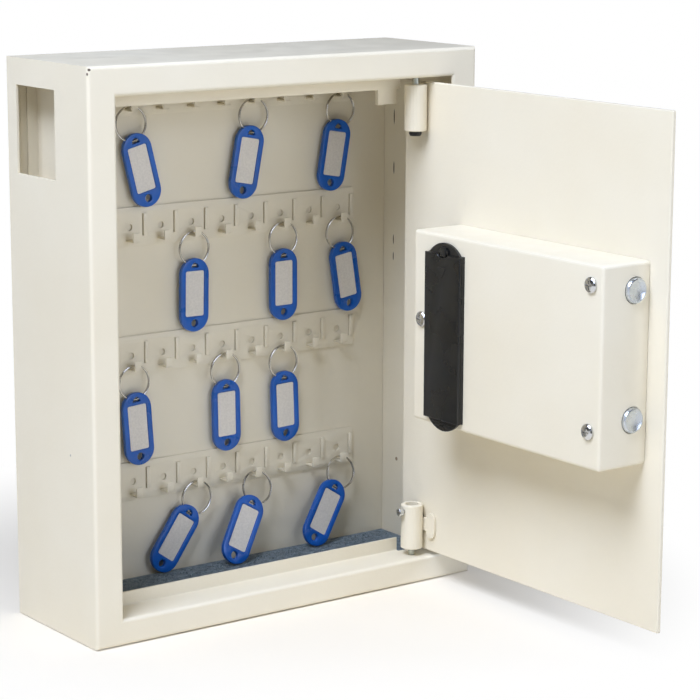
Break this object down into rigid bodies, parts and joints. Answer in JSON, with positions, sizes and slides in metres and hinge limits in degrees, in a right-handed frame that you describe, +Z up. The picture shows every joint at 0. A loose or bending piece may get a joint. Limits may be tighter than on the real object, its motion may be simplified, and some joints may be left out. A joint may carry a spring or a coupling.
{
  "type": "key cabinet",
  "caption": "Wall-hung steel key cabinet with hook strips, blue key tags, a key-return slot in its side and a door with a battery keypad lock and round bolts.",
  "frame": {"origin": "centre of the back face, which hangs on the wall", "axes": "+X to the right as one faces the cabinet, +Y into the wall, +Z up; the door is drawn open at 90 degrees"},
  "size_m": [0.302, 0.3251, 0.365],
  "materials": {
    "shell_paint": "ivory powder coat, fine orange peel",
    "door_paint": "ivory powder coat, fine orange peel",
    "strip_paint": "ivory powder coat",
    "bright_steel": "polished",
    "zinc_steel": "zinc plated",
    "mat_felt": "needled felt",
    "case_plastic": "moulded, satin",
    "key_plastic": "moulded, satin",
    "knob_plastic": "moulded",
    "cell_wrap": "printed sleeve",
    "board": "varnished laminate",
    "coil_grey": "plated",
    "tag_plastic": "moulded"
  },
  "bodies": {
    "cabinet": {"cabinet_shell": "shell_paint", "back_panel": "shell_paint", "drop_baffle": "shell_paint", "floor_mat": "mat_felt", "hook_strip_1": "strip_paint", "hook_strip_2": "strip_paint", "hook_strip_3": "strip_paint", "hook_strip_4": "strip_paint", "lower_hinge_pin": "zinc_steel", "upper_hinge_pin": "zinc_steel"},
    "door": {"door_panel": "door_paint", "lower_barrel": "door_paint", "upper_barrel": "door_paint", "barrel_screw": "bright_steel", "hinge_plug": "case_plastic", "lock_cover": "door_paint", "lock_chassis": "zinc_steel", "cover_screw_1": "bright_steel", "cover_screw_2": "bright_steel", "cover_screw_3": "bright_steel", "solenoid": "coil_grey", "battery_tray": "case_plastic", "battery_lid": "case_plastic", "battery_cell_1": "cell_wrap", "battery_cell_2": "cell_wrap", "battery_cell_3": "cell_wrap", "battery_cell_4": "cell_wrap", "keypad_housing": "case_plastic", "circuit_board": "board"},
    "bolt_slide": {"bolt_bar": "zinc_steel", "lower_bolt": "bright_steel", "upper_bolt": "bright_steel"},
    "knob": {"knob": "knob_plastic", "spindle": "zinc_steel"},
    "emergency_lock": {"emergency_lock": "bright_steel"},
    "plunger": {"plunger": "bright_steel"},
    "key_1": {"key_1": "key_plastic"},
    "key_2": {"key_2": "key_plastic"},
    "key_3": {"key_3": "key_plastic"},
    "key_4": {"key_4": "key_plastic"},
    "key_5": {"key_5": "key_plastic"},
    "key_6": {"key_6": "key_plastic"},
    "key_7": {"key_7": "key_plastic"},
    "key_8": {"key_8": "key_plastic"},
    "key_9": {"key_9": "key_plastic"},
    "key_10": {"key_10": "key_plastic"},
    "key_11": {"key_11": "key_plastic"},
    "key_12": {"key_12": "key_plastic"},
    "key_tag_1": {"key_tag_1": "tag_plastic"},
    "key_tag_2": {"key_tag_2": "tag_plastic"},
    "key_tag_3": {"key_tag_3": "tag_plastic"},
    "key_tag_4": {"key_tag_4": "tag_plastic"},
    "key_tag_5": {"key_tag_5": "tag_plastic"},
    "key_tag_6": {"key_tag_6": "tag_plastic"},
    "key_tag_7": {"key_tag_7": "tag_plastic"},
    "key_tag_8": {"key_tag_8": "tag_plastic"},
    "key_tag_9": {"key_tag_9": "tag_plastic"},
    "key_tag_10": {"key_tag_10": "tag_plastic"},
    "key_tag_11": {"key_tag_11": "tag_plastic"},
    "key_tag_12": {"key_tag_12": "tag_plastic"}
  },
  "joints": [
    {"name": "door_hinge", "type": "hinge", "parent": "cabinet", "child": "door", "pos_m": [0.1075, -0.0891, 0], "axis": [0, 0, 1], "range_deg": [-90, 30]},
    {"name": "knob_turn", "type": "hinge", "parent": "door", "child": "knob", "pos_m": [0.1384, -0.2266, -0.0225], "axis": [1, 0, 0], "range_deg": [0, 90]},
    {"name": "bolt_throw", "type": "slide", "parent": "door", "child": "bolt_slide", "axis": [0, -1, 0], "range_m": [0, 0.022]},
    {"name": "emergency_turn", "type": "hinge", "parent": "door", "child": "emergency_lock", "pos_m": [0.1284, -0.1991, -0.0225], "axis": [1, 0, 0], "range_deg": [0, 90]},
    {"name": "plunger_lift", "type": "slide", "parent": "door", "child": "plunger", "axis": [0, 0, 1], "range_m": [0, 0.005], "stiffness_N_per_m": 60},
    {"name": "key_1_press", "type": "slide", "parent": "door", "child": "key_1", "axis": [-1, 0, 0], "range_m": [0, 0.001], "stiffness_N_per_m": 300},
    {"name": "key_2_press", "type": "slide", "parent": "door", "child": "key_2", "axis": [-1, 0, 0], "range_m": [0, 0.001], "stiffness_N_per_m": 300},
    {"name": "key_3_press", "type": "slide", "parent": "door", "child": "key_3", "axis": [-1, 0, 0], "range_m": [0, 0.001], "stiffness_N_per_m": 300},
    {"name": "key_4_press", "type": "slide", "parent": "door", "child": "key_4", "axis": [-1, 0, 0], "range_m": [0, 0.001], "stiffness_N_per_m": 300},
    {"name": "key_5_press", "type": "slide", "parent": "door", "child": "key_5", "axis": [-1, 0, 0], "range_m": [0, 0.001], "stiffness_N_per_m": 300},
    {"name": "key_6_press", "type": "slide", "parent": "door", "child": "key_6", "axis": [-1, 0, 0], "range_m": [0, 0.001], "stiffness_N_per_m": 300},
    {"name": "key_7_press", "type": "slide", "parent": "door", "child": "key_7", "axis": [-1, 0, 0], "range_m": [0, 0.001], "stiffness_N_per_m": 300},
    {"name": "key_8_press", "type": "slide", "parent": "door", "child": "key_8", "axis": [-1, 0, 0], "range_m": [0, 0.001], "stiffness_N_per_m": 300},
    {"name": "key_9_press", "type": "slide", "parent": "door", "child": "key_9", "axis": [-1, 0, 0], "range_m": [0, 0.001], "stiffness_N_per_m": 300},
    {"name": "key_10_press", "type": "slide", "parent": "door", "child": "key_10", "axis": [-1, 0, 0], "range_m": [0, 0.001], "stiffness_N_per_m": 300},
    {"name": "key_11_press", "type": "slide", "parent": "door", "child": "key_11", "axis": [-1, 0, 0], "range_m": [0, 0.001], "stiffness_N_per_m": 300},
    {"name": "key_12_press", "type": "slide", "parent": "door", "child": "key_12", "axis": [-1, 0, 0], "range_m": [0, 0.001], "stiffness_N_per_m": 300},
    {"name": "tag_1_swing", "type": "hinge", "parent": "cabinet", "child": "key_tag_1", "pos_m": [-0.0635, -0.0062, 0.1465], "axis": [-1, 0, 0], "range_deg": [0, 50]},
    {"name": "tag_2_swing", "type": "hinge", "parent": "cabinet", "child": "key_tag_2", "pos_m": [0.0333, -0.0062, 0.1465], "axis": [-1, 0, 0], "range_deg": [0, 50]},
    {"name": "tag_3_swing", "type": "hinge", "parent": "cabinet", "child": "key_tag_3", "pos_m": [0.1059, -0.0062, 0.1465], "axis": [-1, 0, 0], "range_deg": [0, 50]},
    {"name": "tag_4_swing", "type": "hinge", "parent": "cabinet", "child": "key_tag_4", "pos_m": [-0.0151, -0.0062, 0.0602], "axis": [-1, 0, 0], "range_deg": [0, 50]},
    {"name": "tag_5_swing", "type": "hinge", "parent": "cabinet", "child": "key_tag_5", "pos_m": [0.0575, -0.0062, 0.0602], "axis": [-1, 0, 0], "range_deg": [0, 50]},
    {"name": "tag_6_swing", "type": "hinge", "parent": "cabinet", "child": "key_tag_6", "pos_m": [0.1059, -0.0062, 0.0602], "axis": [-1, 0, 0], "range_deg": [0, 50]},
    {"name": "tag_7_swing", "type": "hinge", "parent": "cabinet", "child": "key_tag_7", "pos_m": [-0.0635, -0.0062, -0.0261], "axis": [-1, 0, 0], "range_deg": [0, 50]},
    {"name": "tag_8_swing", "type": "hinge", "parent": "cabinet", "child": "key_tag_8", "pos_m": [0.0091, -0.0062, -0.0261], "axis": [-1, 0, 0], "range_deg": [0, 50]},
    {"name": "tag_9_swing", "type": "hinge", "parent": "cabinet", "child": "key_tag_9", "pos_m": [0.0575, -0.0062, -0.0261], "axis": [-1, 0, 0], "range_deg": [0, 50]},
    {"name": "tag_10_swing", "type": "hinge", "parent": "cabinet", "child": "key_tag_10", "pos_m": [-0.0151, -0.0062, -0.1124], "axis": [-1, 0, 0], "range_deg": [0, 25]},
    {"name": "tag_11_swing", "type": "hinge", "parent": "cabinet", "child": "key_tag_11", "pos_m": [0.0333, -0.0062, -0.1124], "axis": [-1, 0, 0], "range_deg": [0, 25]},
    {"name": "tag_12_swing", "type": "hinge", "parent": "cabinet", "child": "key_tag_12", "pos_m": [0.1059, -0.0062, -0.1124], "axis": [-1, 0, 0], "range_deg": [0, 25]}
  ],
  "couplings": [
    {"joint": "knob_turn", "follows": "bolt_throw", "rad_per_m": 71.4}
  ]
}
